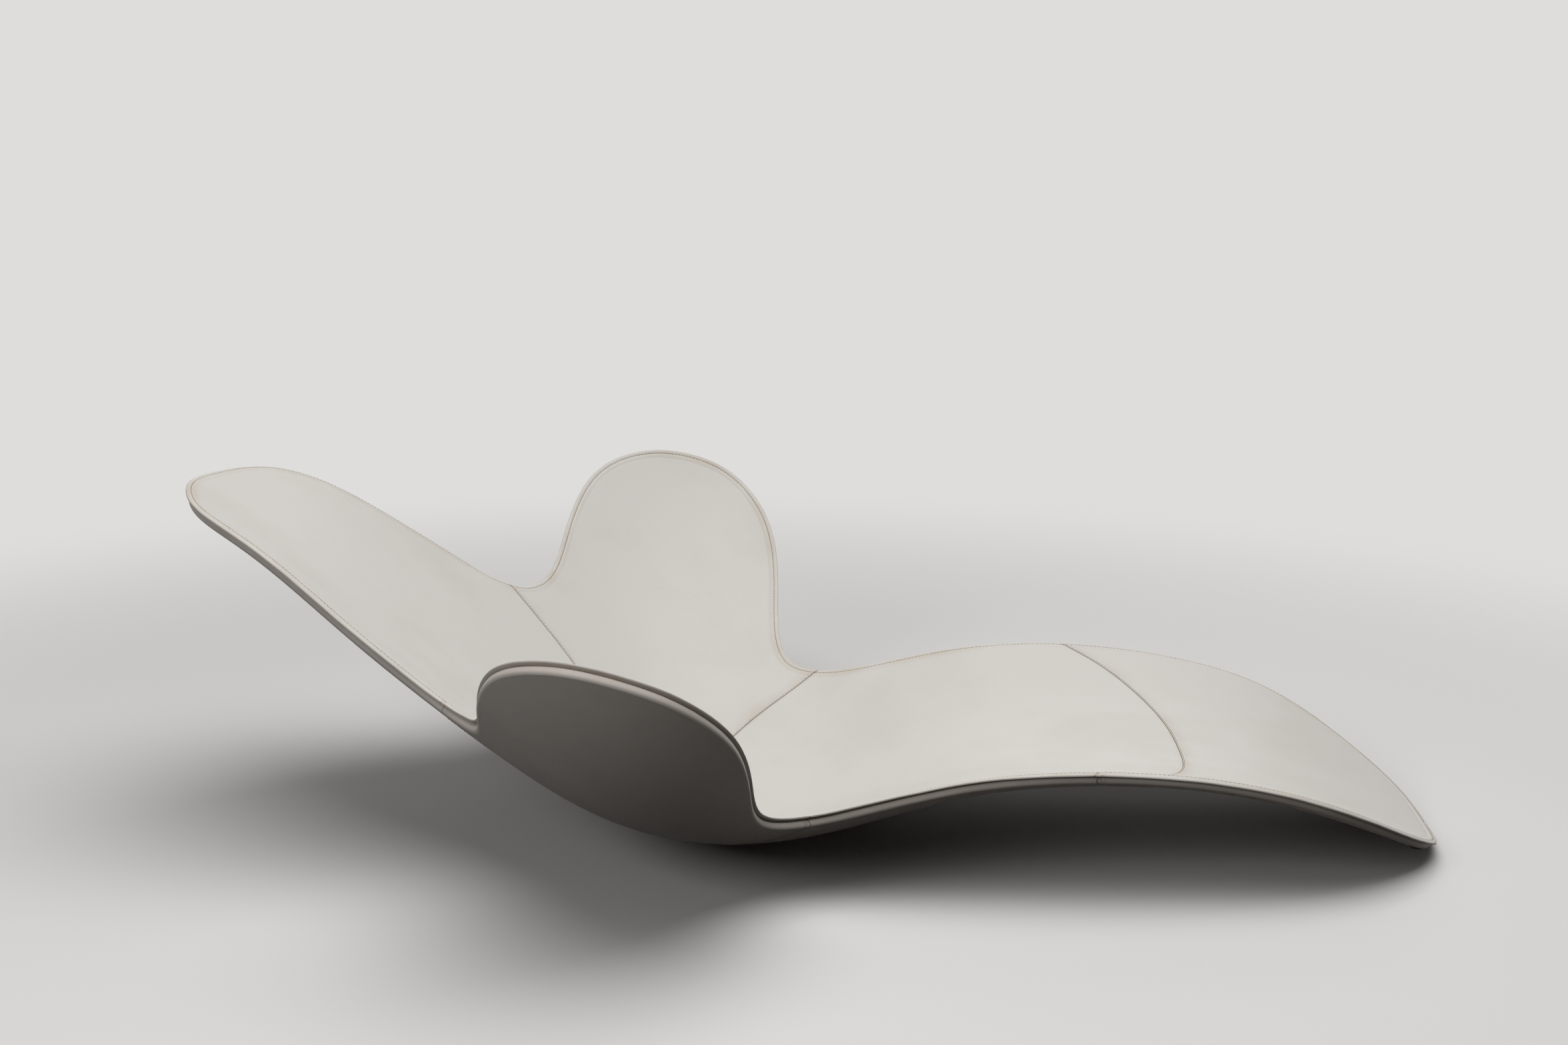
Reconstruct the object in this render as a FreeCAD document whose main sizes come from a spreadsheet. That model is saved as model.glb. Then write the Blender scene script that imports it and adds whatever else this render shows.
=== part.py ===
import FreeCAD, Part
import math
import os

# A shell lounger: a stiff moulded shell, padded and covered in leather on both faces.
# +X runs from the head to the foot, Y is across, Z is up, and the floor is Z = 0.
# The origin lies on the floor under the middle of the length.
# Depth is measured from the sitting face into the shell, square to it.
# Inset is measured from the rim inwards, along the sitting face.

Vector = FreeCAD.Vector

os.makedirs("parts", exist_ok=True)
doc = FreeCAD.newDocument("shell_lounger")

# Sizes in millimetres
SIZES = {
    "overall_length": 1800.0,
    "half_width": 708.0,
    "head_rise": 464.0,
    "arc_radius": 820.0,
    "steepest_rise": 1.9,
    "leather": 1.4,
    "layer_gap": 0.3,
    "inner_pad": 3.5,
    "shell_wall": 6.0,
    "outer_pad": 2.5,
    "flange_width": 7.0,
    "roll_bulge": 1.4,
    "roll_corner": 5.0,
    "seam_gap": 0.3,
    "thread": 0.8,
    "stitch_inset": 6.4,
    "lap_width": 6.0,
    "plate_half_length": 84.0,
    "plate_half_width": 105.0,
    "plate_corner": 25.0,
    "belly_clear": 4.0,
    "glide_radius": 16.0,
    "glide_spread_x": 62.0,
    "glide_spread_y": 75.0,
    "foot_glide_radius": 10.0,
    "foot_glide_setback": 28.0,
    "screw_radius": 2.0,
    "screw_clearance": 0.35,
    "head_radius": 4.0,
    "head_height": 2.0,
    "head_recess": 0.8,
    "insert_radius": 4.0,
    "insert_clearance": 0.1,
    "insert_cover": 0.8,
}

table = doc.addObject("Spreadsheet::Sheet", "Sizes")
for row, (alias, number) in enumerate(SIZES.items(), start=1):
    table.set("A%d" % row, alias)
    table.set("B%d" % row, str(number))
    table.setAlias("B%d" % row, alias)
doc.recompute()


def size(alias):
    return float(table.get(alias))


length = size("overall_length")
half_width = size("half_width")
head_rise = size("head_rise")
arc_radius = size("arc_radius")
gap = size("layer_gap")
leather = size("leather")

# The layers, from the sitting face down
inner_pad_top = leather + gap
inner_pad_base = inner_pad_top + size("inner_pad")
shell_top = inner_pad_base + gap
shell_base = shell_top + size("shell_wall")
outer_pad_top = shell_base + gap
outer_pad_base = outer_pad_top + size("outer_pad")
outer_leather_top = outer_pad_base + gap
outer_face = outer_leather_top + leather
flange_top = leather + gap
flange_base = flange_top + leather
low_line = outer_face + size("belly_clear")

# The spine of the sitting face: share of the length, share of the head's rise
SPINE_SHARES = [
    (0.0, 1.0), (0.08, 0.833), (0.16, 0.584), (0.25, 0.309), (0.34, 0.086), (0.44, 0.0),
    (0.52, 0.038), (0.61, 0.152), (0.70, 0.211), (0.80, 0.207), (0.90, 0.128), (1.0, -0.012),
]

# The radius of the arc across: share of the length, share of the arc's radius
ARC_SHARES = [(0.0, 0.99), (0.2, 1.02), (0.34, 1.05), (0.44, 1.03), (0.52, 0.90), (0.62, 1.0), (1.0, 1.03)]

# Half of the rim in plan: share of the length, share of the half width
RIM_SHARES = [
    (0.0, 0.0), (0.007, 0.104), (0.039, 0.261), (0.111, 0.371), (0.184, 0.437), (0.218, 0.463),
    (0.245, 0.514), (0.258, 0.574), (0.269, 0.726), (0.290, 0.885), (0.328, 0.968), (0.363, 1.0),
    (0.409, 0.992), (0.452, 0.883), (0.462, 0.756), (0.466, 0.628), (0.477, 0.560), (0.497, 0.524),
    (0.559, 0.495), (0.688, 0.489), (0.812, 0.462), (0.898, 0.419), (0.948, 0.332), (0.991, 0.175),
    (1.0, 0.0),
]

# The seams in plan: share of the length, share of the half width
HEAD_SEAM_SHARES = [
    (0.322, 0.0), (0.317, 0.20), (0.3085, 0.30), (0.2905, 0.375), (0.263, 0.430), (0.231, 0.477),
]
SEAT_SEAM_SHARES = [(0.400, 0.0), (0.409, 0.20), (0.432, 0.333), (0.463, 0.441), (0.499, 0.516)]
FOOT_SEAM_SHARES = [(0.796, 0.0), (0.789, 0.18), (0.768, 0.315), (0.737, 0.424), (0.710, 0.487)]

# How finely the sheets are drawn, in rows along a panel and half of the points across
PANEL_ROWS = {"head": 24, "centre": 44, "leg": 20, "foot": 26, "whole": 104}
LENGTH_ROWS = 14
HALF_ACROSS = 14
THREAD_STEPS = 64
SEARCH_STEPS = 400
STEP_SHARE = 0.0005


def cubic(places, values):
    """The natural cubic spline through the values, straight beyond both ends."""
    last = len(places) - 1
    spans = [places[i + 1] - places[i] for i in range(last)]
    slopes = [(values[i + 1] - values[i]) / spans[i] for i in range(last)]
    upper = [0.0] * (last + 1)
    right = [0.0] * (last + 1)
    for i in range(1, last):
        pivot = 2.0 * (spans[i - 1] + spans[i]) - spans[i - 1] * upper[i - 1]
        upper[i] = spans[i] / pivot
        right[i] = (6.0 * (slopes[i] - slopes[i - 1]) - spans[i - 1] * right[i - 1]) / pivot
    bends = [0.0] * (last + 1)
    for i in range(last - 1, 0, -1):
        bends[i] = right[i] - upper[i] * bends[i + 1]

    def at(place):
        inside = min(max(place, places[0]), places[last])
        i = 0
        while i < last - 1 and inside > places[i + 1]:
            i += 1
        span = spans[i]
        low = inside - places[i]
        high = places[i + 1] - inside
        value = (bends[i] * high ** 3 + bends[i + 1] * low ** 3) / (6.0 * span)
        value += (values[i] / span - bends[i] * span / 6.0) * high
        value += (values[i + 1] / span - bends[i + 1] * span / 6.0) * low
        if place == inside:
            return value
        slope = (bends[i + 1] * low ** 2 - bends[i] * high ** 2) / (2.0 * span)
        slope += slopes[i] - (bends[i + 1] - bends[i]) * span / 6.0
        return value + slope * (place - inside)

    return at


def rising(places, values):
    """A smooth line through rising values, which never turns back between them."""
    spans = [b - a for a, b in zip(places, places[1:])]
    slopes = [(b - a) / span for a, b, span in zip(values, values[1:], spans)]
    tilts = [2.0 * a * b / (a + b) for a, b in zip(slopes, slopes[1:])]
    tilts = slopes[:1] + tilts + slopes[-1:]

    def at(place):
        i = sum(1 for inner in places[1:-1] if place >= inner)
        share = (place - places[i]) / spans[i]
        start = tilts[i] - slopes[i]
        stop = tilts[i + 1] - slopes[i]
        sway = share * (1.0 - share) * ((1.0 - share) * start - share * stop)
        return values[i] + spans[i] * (share * slopes[i] + sway)

    return at


def along(share):
    return (share - 0.5) * length


# The sitting face
spine = cubic([along(a) for a, b in SPINE_SHARES], [low_line + b * head_rise for a, b in SPINE_SHARES])
arc = cubic([along(a) for a, b in ARC_SHARES], [b * arc_radius for a, b in ARC_SHARES])
steepest = math.atan(size("steepest_rise"))


def face_height(x, y):
    """The sitting face's height: an arc across, which runs on straight where it is steepest."""
    radius = arc(x)
    side = abs(y)
    turn = radius * math.sin(steepest)
    if side <= turn:
        return spine(x) + radius - math.sqrt(radius * radius - side * side)
    return spine(x) + radius * (1.0 - math.cos(steepest)) + (side - turn) * math.tan(steepest)


def outward(x, y):
    """The unit vector from the sitting face into the shell."""
    step = STEP_SHARE * length
    rise_x = (face_height(x + step, y) - face_height(x - step, y)) / (2.0 * step)
    rise_y = (face_height(x, y + step) - face_height(x, y - step)) / (2.0 * step)
    return Vector(rise_x, rise_y, -1.0).normalize()


def at_depth(x, y, depth):
    return Vector(x, y, face_height(x, y)) + outward(x, y) * depth


def height_at_depth(x, y, depth):
    """The height of the surface at that depth, straight above or below a point of the plan."""
    a, b = x, y
    for attempt in range(4):
        point = at_depth(a, b, depth)
        a += x - point.x
        b += y - point.y
    return at_depth(a, b, depth).z


# The rim
rim_points = [Vector(along(a), b * half_width, 0.0) for a, b in RIM_SHARES]
mirror = [Vector(p.x, -p.y, 0.0) for p in rim_points]
rim_points = mirror[3:0:-1] + rim_points + mirror[-2:-5:-1]
rim_places = [0.0]
for one, two in zip(rim_points, rim_points[1:]):
    rim_places.append(rim_places[-1] + one.distanceToPoint(two))
rim_x = cubic(rim_places, [p.x for p in rim_points])
rim_y = cubic(rim_places, [p.y for p in rim_points])
rim_start = rim_places[3]
rim_run = rim_places[-4] - rim_start


def rim_point(share, inset):
    """The plan of a point inside the far half of the rim, from the head at 0 to the foot at 1."""
    place = rim_start + share * rim_run
    step = STEP_SHARE * rim_run
    before = at_depth(rim_x(place - step), rim_y(place - step), 0.0)
    after = at_depth(rim_x(place + step), rim_y(place + step), 0.0)
    here = at_depth(rim_x(place), rim_y(place), 0.0)
    inward = outward(here.x, here.y).cross(after - before).normalize()
    point = here + inward * inset
    if share in (0.0, 1.0):
        point.y = 0.0
    return point


# The seams
def seam_line(shares):
    """A seam's x at each y of the plan, the same on both sides."""
    places = [-b * half_width for a, b in reversed(shares[1:])] + [b * half_width for a, b in shares]
    values = [along(a) for a, b in reversed(shares[1:])] + [along(a) for a, b in shares]
    return cubic(places, values)


SEAMS = {
    "head": seam_line(HEAD_SEAM_SHARES),
    "seat": seam_line(SEAT_SEAM_SHARES),
    "foot": seam_line(FOOT_SEAM_SHARES),
}
PANELS = {"head": [None, "head"], "centre": ["head", "seat"], "leg": ["seat", "foot"], "foot": ["foot", None]}
crossings = {}


def crossing(seam, shift, inset):
    """The rim's share where a seam meets it."""
    key = (seam, shift, inset)
    if key not in crossings:

        def miss(share):
            point = rim_point(share, inset)
            return point.x - SEAMS[seam](point.y) - shift

        low = 0.0
        step = 1.0 / SEARCH_STEPS
        while miss(low + step) < 0.0:
            low += step
        high = low + step
        for attempt in range(30):
            middle = 0.5 * (low + high)
            if miss(middle) < 0.0:
                low = middle
            else:
                high = middle
        crossings[key] = high
    return crossings[key]


# Closer steps beside a tip or the rim, and spare ones beyond a seam, keep the sheets true there
CLOSER_STEPS = [0.25, 0.5]
WHOLE_TIP_STEPS = [0.25, 0.5, 0.75]
SPARE_ROWS = 2
ACROSS = list(range(HALF_ACROSS)) + [HALF_ACROSS - step for step in CLOSER_STEPS[::-1]] + [HALF_ACROSS]
ACROSS = [step / HALF_ACROSS for step in ACROSS]


class Panel:
    """A part of the sheets that runs from one seam or tip to another."""

    def __init__(self, seams, rows, tip_steps=CLOSER_STEPS):
        shy = 0.5 * size("seam_gap")
        shifts = [shy] + [0.0] * (len(seams) - 2) + [-shy]
        self.stations = list(zip(seams, shifts))
        spare = [-step for step in range(SPARE_ROWS + 1)]
        start, stop = [spare if seam else tip_steps[::-1] + [0] for seam in (seams[0], seams[-1])]
        steps = start[::-1] + list(range(1, rows)) + [rows - step for step in stop]
        self.rows = [step / rows for step in steps]

    def shares(self, inset):
        """The rim's share at each station."""
        found = []
        for place, (seam, shift) in enumerate(self.stations):
            found.append(crossing(seam, shift, inset) if seam else float(place > 0))
        return found

    def rim(self, row, inset):
        shares = self.shares(inset)
        return rim_point(shares[0] + (shares[-1] - shares[0]) * row, inset)

    def middle(self, row, inset):
        """Where a row starts on the spine."""
        shares = self.shares(inset)
        places = [(share - shares[0]) / (shares[-1] - shares[0]) for share in shares]
        spots = []
        for share, (seam, shift) in zip(shares, self.stations):
            spots.append(SEAMS[seam](0.0) + shift if seam else rim_point(share, inset).x)
        return rising(places, spots)(row)

    def bow(self, end, v, inset):
        """How far a seam at one end of the panel leaves a plain parabola."""
        seam = self.stations[-end][0]
        if not seam:
            return 0.0
        line = SEAMS[seam]
        reach = self.rim(float(end), inset).y
        return line(v * reach) - line(0.0) - v * v * (line(reach) - line(0.0))

    def sheet(self, inset, depth):
        """The panel's surface, drawn through rows of points across."""
        bows = [[self.bow(end, v, inset) for v in ACROSS] for end in (0, 1)]
        rows = []
        for row in self.rows:
            edge = self.rim(row, inset)
            middle = self.middle(row, inset)
            far = []
            for v, bow_start, bow_stop in zip(ACROSS, *bows):
                x = middle + v * v * (edge.x - middle) + (1.0 - row) * bow_start + row * bow_stop
                far.append(at_depth(x, v * edge.y, depth))
            rows.append(mirrored(far)[:0:-1] + far)
        surface = Part.BSplineSurface()
        surface.interpolate(rows)
        knots = surface.getUKnots()
        low = self.rows.index(0.0)
        high = self.rows.index(1.0)
        surface.segment(knots[low], knots[high], *surface.bounds()[2:])
        return surface

    def rim_edges(self, inset, depth):
        """The far and the near edge of the panel at one inset and depth."""
        points = [self.rim(row, inset) for row in self.rows if 0.0 <= row <= 1.0]
        far = [at_depth(p.x, p.y, depth) for p in points]
        return [curve_through(far), curve_through(mirrored(far))]

    def skin(self, profile):
        """A closed layer. The profile pairs upper and lower insets and depths, from the sheets out."""
        sheets = [self.sheet(*spot) for spot in profile[0]]
        faces = [sheet.toShape() for sheet in sheets]
        far = [[sheet.vIso(sheet.bounds()[3]).toShape() for sheet in sheets]]
        near = [[sheet.vIso(sheet.bounds()[2]).toShape() for sheet in sheets]]
        for pair in profile[1:]:
            edges = [self.rim_edges(*spot) for spot in pair]
            far.append([both[0] for both in edges])
            near.append([both[1] for both in edges])
        for side in (far, near):
            for inner, outer in zip(side, side[1:]):
                faces += [Part.makeRuledSurface(one, two) for one, two in zip(inner, outer)]
            faces.append(Part.makeRuledSurface(*side[-1]))
        for end in (0, 1):
            if not self.stations[-end][0]:
                continue
            across = [sheet.uIso(sheet.bounds()[end]).toShape() for sheet in sheets]
            faces.append(Part.makeRuledSurface(*across))
            for side in (far, near):
                for inner, outer in zip(side, side[1:]):
                    faces.append(between_tips(inner, outer, end))
        return close_up(faces)


def mirrored(points):
    return [Vector(p.x, -p.y, p.z) for p in points]


def curve_through(points):
    curve = Part.BSplineCurve()
    curve.interpolate(points)
    return curve.toShape()


def tip_of(edge, end):
    return edge.Curve.value(edge.LastParameter if end else edge.FirstParameter)


def between_tips(inner, outer, end):
    """The small wall between the tips of two pairs of edges."""
    lines = [Part.makeLine(tip_of(one, end), tip_of(two, end)) for one, two in zip(inner, outer)]
    return Part.makeRuledSurface(*lines)


def close_up(faces):
    shell = Part.Shell(faces)
    shell.sewShape()
    solid = Part.Solid(shell)
    if solid.Volume < 0.0:
        solid.reverse()
    return solid


def layer(panel, inset, top, base):
    return panel.skin([((inset, top), (inset, base))])


def lengths(sheet):
    """A long sheet cut across into shorter ones, since a very long face is measured badly."""
    knots = sheet.getUKnots()
    marks = knots[:-1:LENGTH_ROWS] + knots[-1:]
    pieces = []
    for start, stop in zip(marks, marks[1:]):
        piece = sheet.copy()
        piece.segment(start, stop, *sheet.bounds()[2:])
        pieces.append(piece)
    return pieces


def long_layer(panel, inset, top, base):
    """A layer that runs from tip to tip, closed at the rim length by length."""
    faces = []
    for pair in zip(lengths(panel.sheet(inset, top)), lengths(panel.sheet(inset, base))):
        faces += [sheet.toShape() for sheet in pair]
        for side in (2, 3):
            edges = [sheet.vIso(sheet.bounds()[side]).toShape() for sheet in pair]
            faces.append(Part.makeRuledSurface(*edges))
    return close_up(faces)


panels = {name: Panel(seams, PANEL_ROWS[name]) for name, seams in PANELS.items()}
whole = Panel([None, "head", "seat", "foot", None], PANEL_ROWS["whole"], WHOLE_TIP_STEPS)

parts = []


def keep(label, shape):
    """A sub-part whose form comes from the sheets."""
    item = doc.addObject("Part::Feature", label)
    item.Shape = shape.Solids[0] if len(shape.Solids) == 1 else shape
    item.Label = label
    parts.append(item)


# The edge: the shell stops inside the outer leather, which rolls up round it and comes out as half of
# the flange
bulge = size("roll_bulge")
corner = size("roll_corner")
roll_out = size("flange_width")
roll_in = roll_out + leather
core_inset = roll_in + 2.0 * gap
flat_inset = roll_out + corner
deep_inset = flat_inset + leather
ROLL_INSIDE = [
    (flat_inset, outer_leather_top),
    (roll_in + 0.3 * corner, outer_leather_top - 0.2 * corner),
    (roll_in, outer_leather_top - 0.8 * corner),
    (roll_in, flange_top + corner),
    (roll_in + bulge, flange_top),
    (0.0, flange_top),
]
ROLL_OUTSIDE = [
    (flat_inset, outer_face),
    (roll_out + 0.3 * corner, outer_face - 0.25 * corner),
    (roll_out, outer_face - 0.9 * corner),
    (roll_out, flange_base + corner),
    (roll_out + bulge, flange_base),
    (0.0, flange_base),
]

# An upright block with rounded corners, from below the floor to above the lounger
reach = 1.1 * half_width
ceiling = low_line + 2.0 * (head_rise + half_width)


def rounded_block(center_x, half_x, half_y, radius):
    arcs = []
    for turn, (side_x, side_y) in enumerate([(1, 1), (-1, 1), (-1, -1), (1, -1)]):
        middle = Vector(center_x + side_x * (half_x - radius), side_y * (half_y - radius), -ceiling)
        arcs.append(Part.makeCircle(radius, middle, Vector(0.0, 0.0, 1.0), 90.0 * turn, 90.0 * turn + 90.0))
    outline = []
    for one, two in zip(arcs, arcs[1:] + arcs[:1]):
        outline += [one, Part.makeLine(one.Vertexes[-1].Point, two.Vertexes[0].Point)]
    return Part.Face(Part.Wire(outline)).extrude(Vector(0.0, 0.0, 2.0 * ceiling))


# The belly plate takes the place of the outer padding above the belly's glides
BELLY_SHARE = 0.457
belly_x = along(BELLY_SHARE)
plate_size = [size("plate_half_length"), size("plate_half_width"), size("plate_corner")]
plate_room = [measure + gap for measure in plate_size]
outer_pads = {name: layer(panel, deep_inset, outer_pad_top, outer_pad_base) for name, panel in panels.items()}
belly_plate = outer_pads["leg"].common(rounded_block(belly_x, *plate_size))
outer_pads["leg"] = outer_pads["leg"].cut(rounded_block(belly_x, *plate_room))

# The fixings of the glides: an upright screw up into an insert bonded in the shell
screw_radius = size("screw_radius")
screw_way = screw_radius + size("screw_clearance")
insert_way = size("insert_radius") + size("insert_clearance")
head_base = size("head_recess")
head_top = head_base + size("head_height")


class Fixing:
    """The place and the heights of one glide's screw and insert."""

    def __init__(self, x, y, seat_depth):
        lean = outward(x, y)
        room = insert_way * math.hypot(lean.x, lean.y) / -lean.z
        self.x = x
        self.y = y
        self.insert_top = height_at_depth(x, y, shell_top) - room - size("insert_cover")
        self.insert_base = height_at_depth(x, y, seat_depth) + room

    def hole(self, radius):
        return Part.makeCylinder(radius, self.insert_top + ceiling, Vector(self.x, self.y, -ceiling))


SIDES = (1, -1)
FOOT_GLIDE_SHARE = 0.085
spread_x = size("glide_spread_x")
spread_y = size("glide_spread_y")
foot_x = 0.5 * length - size("foot_glide_setback")
foot_y = FOOT_GLIDE_SHARE * half_width
fixings = {
    "belly": [Fixing(belly_x + a * spread_x, b * spread_y, outer_pad_base) for a in SIDES for b in SIDES],
    "foot": [Fixing(foot_x, b * foot_y, shell_base) for b in SIDES],
}
every_fixing = fixings["belly"] + fixings["foot"]
insert_holes = [fixing.hole(insert_way) for fixing in every_fixing]
screw_holes = [fixing.hole(screw_way) for fixing in every_fixing]

# The shell, the plate, the padding and the leather
keep("structural_shell", long_layer(whole, core_inset, shell_top, shell_base).cut(insert_holes))
keep("belly_plate", belly_plate.cut(insert_holes))
for name, panel in panels.items():
    outer_pad = outer_pads[name]
    outer_leather = panel.skin(list(zip(ROLL_INSIDE, ROLL_OUTSIDE)))
    if name in ("leg", "foot"):
        outer_pad = outer_pad.cut(screw_holes)
        outer_leather = outer_leather.cut(screw_holes)
    keep("inner_padding_" + name, layer(panel, core_inset + bulge, inner_pad_top, inner_pad_base))
    keep("outer_padding_" + name, outer_pad)
    keep("inner_leather_" + name, layer(panel, 0.0, 0.0, leather))
    keep("outer_leather_" + name, outer_leather)

# The threads, square in section, which lie just off the leather
thread = size("thread")
over = -gap - thread
under_flange = flange_base + gap
under = outer_face + gap


def square(middle, top):
    low = middle - 0.5 * thread
    high = middle + 0.5 * thread
    return [(low, top), (high, top), (high, top + thread), (low, top + thread)]


def ring(top):
    """A thread all round, beside the rim."""
    loops = [whole.rim_edges(inset, depth) for inset, depth in square(size("stitch_inset"), top)]
    faces = []
    for one, two in zip(loops, loops[1:] + loops[:1]):
        faces += [Part.makeRuledSurface(*pair) for pair in zip(one, two)]
    return close_up(faces)


keep("edge_thread", Part.Compound([ring(over), ring(under_flange)]))

# The lap of a seam lies on the centre panel's side of it, and on the foot's side at the foot seam
LAP_SIDES = {"head": 1, "seat": -1, "foot": 1}


def seam_thread(seam, top, inset):
    """A thread beside a seam, with its top at that depth, which stops short of the rim."""
    shift = LAP_SIDES[seam] * 0.5 * size("lap_width")
    limit = rim_point(crossing(seam, shift, inset), inset).y
    corners = []
    for beside, depth in square(shift, top):
        points = []
        for i in range(-THREAD_STEPS, THREAD_STEPS + 1):
            y = limit * i / THREAD_STEPS
            points.append(at_depth(SEAMS[seam](y) + beside, y, depth))
        corners.append(curve_through(points))
    faces = [Part.makeRuledSurface(one, two) for one, two in zip(corners, corners[1:] + corners[:1])]
    for end in (0, 1):
        faces.append(between_tips((corners[0], corners[3]), (corners[1], corners[2]), end))
    return close_up(faces)


for seam in SEAMS:
    keep("inner_seam_thread_" + seam, seam_thread(seam, over, 2.0 * core_inset))
    keep("outer_seam_thread_" + seam, seam_thread(seam, under, 2.0 * deep_inset))


# The glides, screws and inserts, bound to the sheet
def upright_bar(label, fixing, radius, base, top):
    item = doc.addObject("Part::Cylinder", label)
    item.setExpression("Radius", radius)
    item.Height = top - base
    item.Placement.Base = Vector(fixing.x, fixing.y, base)
    return item


def together(label, kind, property_name, pieces):
    item = doc.addObject(kind, label)
    setattr(item, property_name, pieces)
    item.Label = label
    return item


def less(label, base, tool):
    item = doc.addObject("Part::Cut", label)
    item.Base = base
    item.Tool = tool
    return item


def room_below(label, fixing, radius):
    """All that lies under the outer leather near one glide."""
    steps = [-radius, -0.5 * radius, 0.0, 0.5 * radius, radius]
    surface = Part.BSplineSurface()
    surface.interpolate([[at_depth(fixing.x + a, fixing.y + b, under) for b in steps] for a in steps])
    item = doc.addObject("Part::Feature", label)
    item.Shape = surface.toShape().extrude(Vector(0.0, 0.0, -ceiling))
    return item


SCREW_WAY = "Sizes.screw_radius + Sizes.screw_clearance"
HEAD_WAY = "Sizes.head_radius + Sizes.screw_clearance"
GLIDE_RADIUS = {"belly": "glide_radius", "foot": "foot_glide_radius"}
for place, group in fixings.items():
    glides = []
    inserts = []
    screws = []
    radius_name = GLIDE_RADIUS[place]
    for number, fixing in enumerate(group, start=1):
        tag = "%s_%d" % (place, number)
        disc = upright_bar("disc_" + tag, fixing, "Sizes." + radius_name, 0.0, fixing.insert_top)
        below = room_below("below_" + tag, fixing, 2.0 * size(radius_name))
        trimmed = together("trimmed_" + tag, "Part::MultiCommon", "Shapes", [disc, below])
        recess = upright_bar("recess_" + tag, fixing, HEAD_WAY, 0.0, head_top)
        way = upright_bar("way_" + tag, fixing, SCREW_WAY, 0.0, fixing.insert_top)
        holes = together("holes_" + tag, "Part::MultiFuse", "Shapes", [recess, way])
        glides.append(less("glide_" + tag, trimmed, holes))
        span = (fixing.insert_base, fixing.insert_top)
        sleeve = upright_bar("sleeve_" + tag, fixing, "Sizes.insert_radius", *span)
        bore = upright_bar("bore_" + tag, fixing, SCREW_WAY, *span)
        inserts.append(less("insert_" + tag, sleeve, bore))
        head = upright_bar("head_" + tag, fixing, "Sizes.head_radius", head_base, head_top)
        shank = upright_bar("shank_" + tag, fixing, "Sizes.screw_radius", head_top, fixing.insert_top)
        screws.append(together("screw_" + tag, "Part::MultiFuse", "Shapes", [head, shank]))
    parts.append(together(place + "_glides", "Part::Compound", "Links", glides))
    parts.append(together(place + "_inserts", "Part::Compound", "Links", inserts))
    parts.append(together(place + "_glide_screws", "Part::Compound", "Links", screws))

# The checks, and the files
doc.recompute()
for item in doc.Objects:
    if "Invalid" in item.State or "Error" in item.State:
        raise RuntimeError("%s did not build: %s" % (item.Label, item.State))
for item in parts:
    shape = item.Shape
    if shape.isNull() or not shape.isValid() or not shape.Solids:
        raise RuntimeError("%s has no sound solid" % item.Label)
    print("%-26s %d solids %10.0f mm3" % (item.Label, len(shape.Solids), shape.Volume))
for item in parts:
    item.Shape.exportStep("parts/%s.step" % item.Label)
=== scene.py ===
import math
import bmesh
import bpy
import numpy as np
from mathutils import Matrix, Vector


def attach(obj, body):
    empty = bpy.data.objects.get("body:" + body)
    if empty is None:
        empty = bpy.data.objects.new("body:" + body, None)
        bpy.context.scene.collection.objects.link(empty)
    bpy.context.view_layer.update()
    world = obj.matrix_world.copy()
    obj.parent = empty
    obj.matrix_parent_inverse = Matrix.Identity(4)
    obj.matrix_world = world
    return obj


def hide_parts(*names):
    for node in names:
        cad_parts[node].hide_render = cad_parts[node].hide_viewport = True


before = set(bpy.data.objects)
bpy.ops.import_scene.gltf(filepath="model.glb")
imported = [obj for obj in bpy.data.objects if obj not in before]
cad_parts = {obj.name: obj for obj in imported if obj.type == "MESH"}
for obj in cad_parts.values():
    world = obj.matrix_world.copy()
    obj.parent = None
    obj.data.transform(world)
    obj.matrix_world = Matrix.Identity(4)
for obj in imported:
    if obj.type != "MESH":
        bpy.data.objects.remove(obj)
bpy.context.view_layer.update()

# Driving sizes of the lounger, in metres. +X runs from the head to the foot and the floor is Z = 0.
mm = 0.001
length = 1.8
half_width = 0.708
head_rise = 0.464
arc_radius = 0.820
steepest = math.atan(1.9)
low_line = 20.0 * mm
outer_face = 16.0 * mm
inner_pad_span = (1.7 * mm, 5.2 * mm)
outer_pad_span = (11.8 * mm, 14.3 * mm)
inner_pad_inset = 11.0 * mm
outer_pad_inset = 13.4 * mm
seam_gap = 0.3 * mm
stitch_pitch = 6.0 * mm
stitch_inset = 6.7 * mm
flange_reach = 8.0 * mm
flange_middle = 2.0 * mm

# Past this depth the outer leather has left the flange. There its marks for the finish begin past the
# stitches, and round the wings each of the first insets moves to the second, so the roll is tighter.
flange_deep = 4.0 * mm
turn_over = 2.0 * mm
past_flange = 10.5 * mm
roll_places = (6.8 * mm, 14.0 * mm, 20.0 * mm, 26.0 * mm)
tight_places = (4.5 * mm, 8.8 * mm, 17.0 * mm, 26.0 * mm)

# The camera stands where the photograph's did: its place and its three axes, fitted to the rim
camera_place = (0.0410, -3.7259, 1.2317)
camera_right = (0.99943, 0.02783, 0.01904)
camera_up = (-0.02440, 0.20702, 0.97804)
camera_back = (0.02328, -0.97794, 0.20758)
camera_lens = 61.12

camera = bpy.data.objects.new("camera", bpy.data.cameras.new("camera"))
bpy.context.scene.collection.objects.link(camera)
camera.data.lens = camera_lens
camera.data.clip_start = 0.1
camera.data.clip_end = 60.0
turn = Matrix((camera_right, camera_up, camera_back)).transposed()
camera.matrix_world = Matrix.Translation(camera_place) @ turn.to_4x4()
bpy.context.scene.camera = camera
bpy.context.scene.view_settings.view_transform = "Standard"

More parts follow.
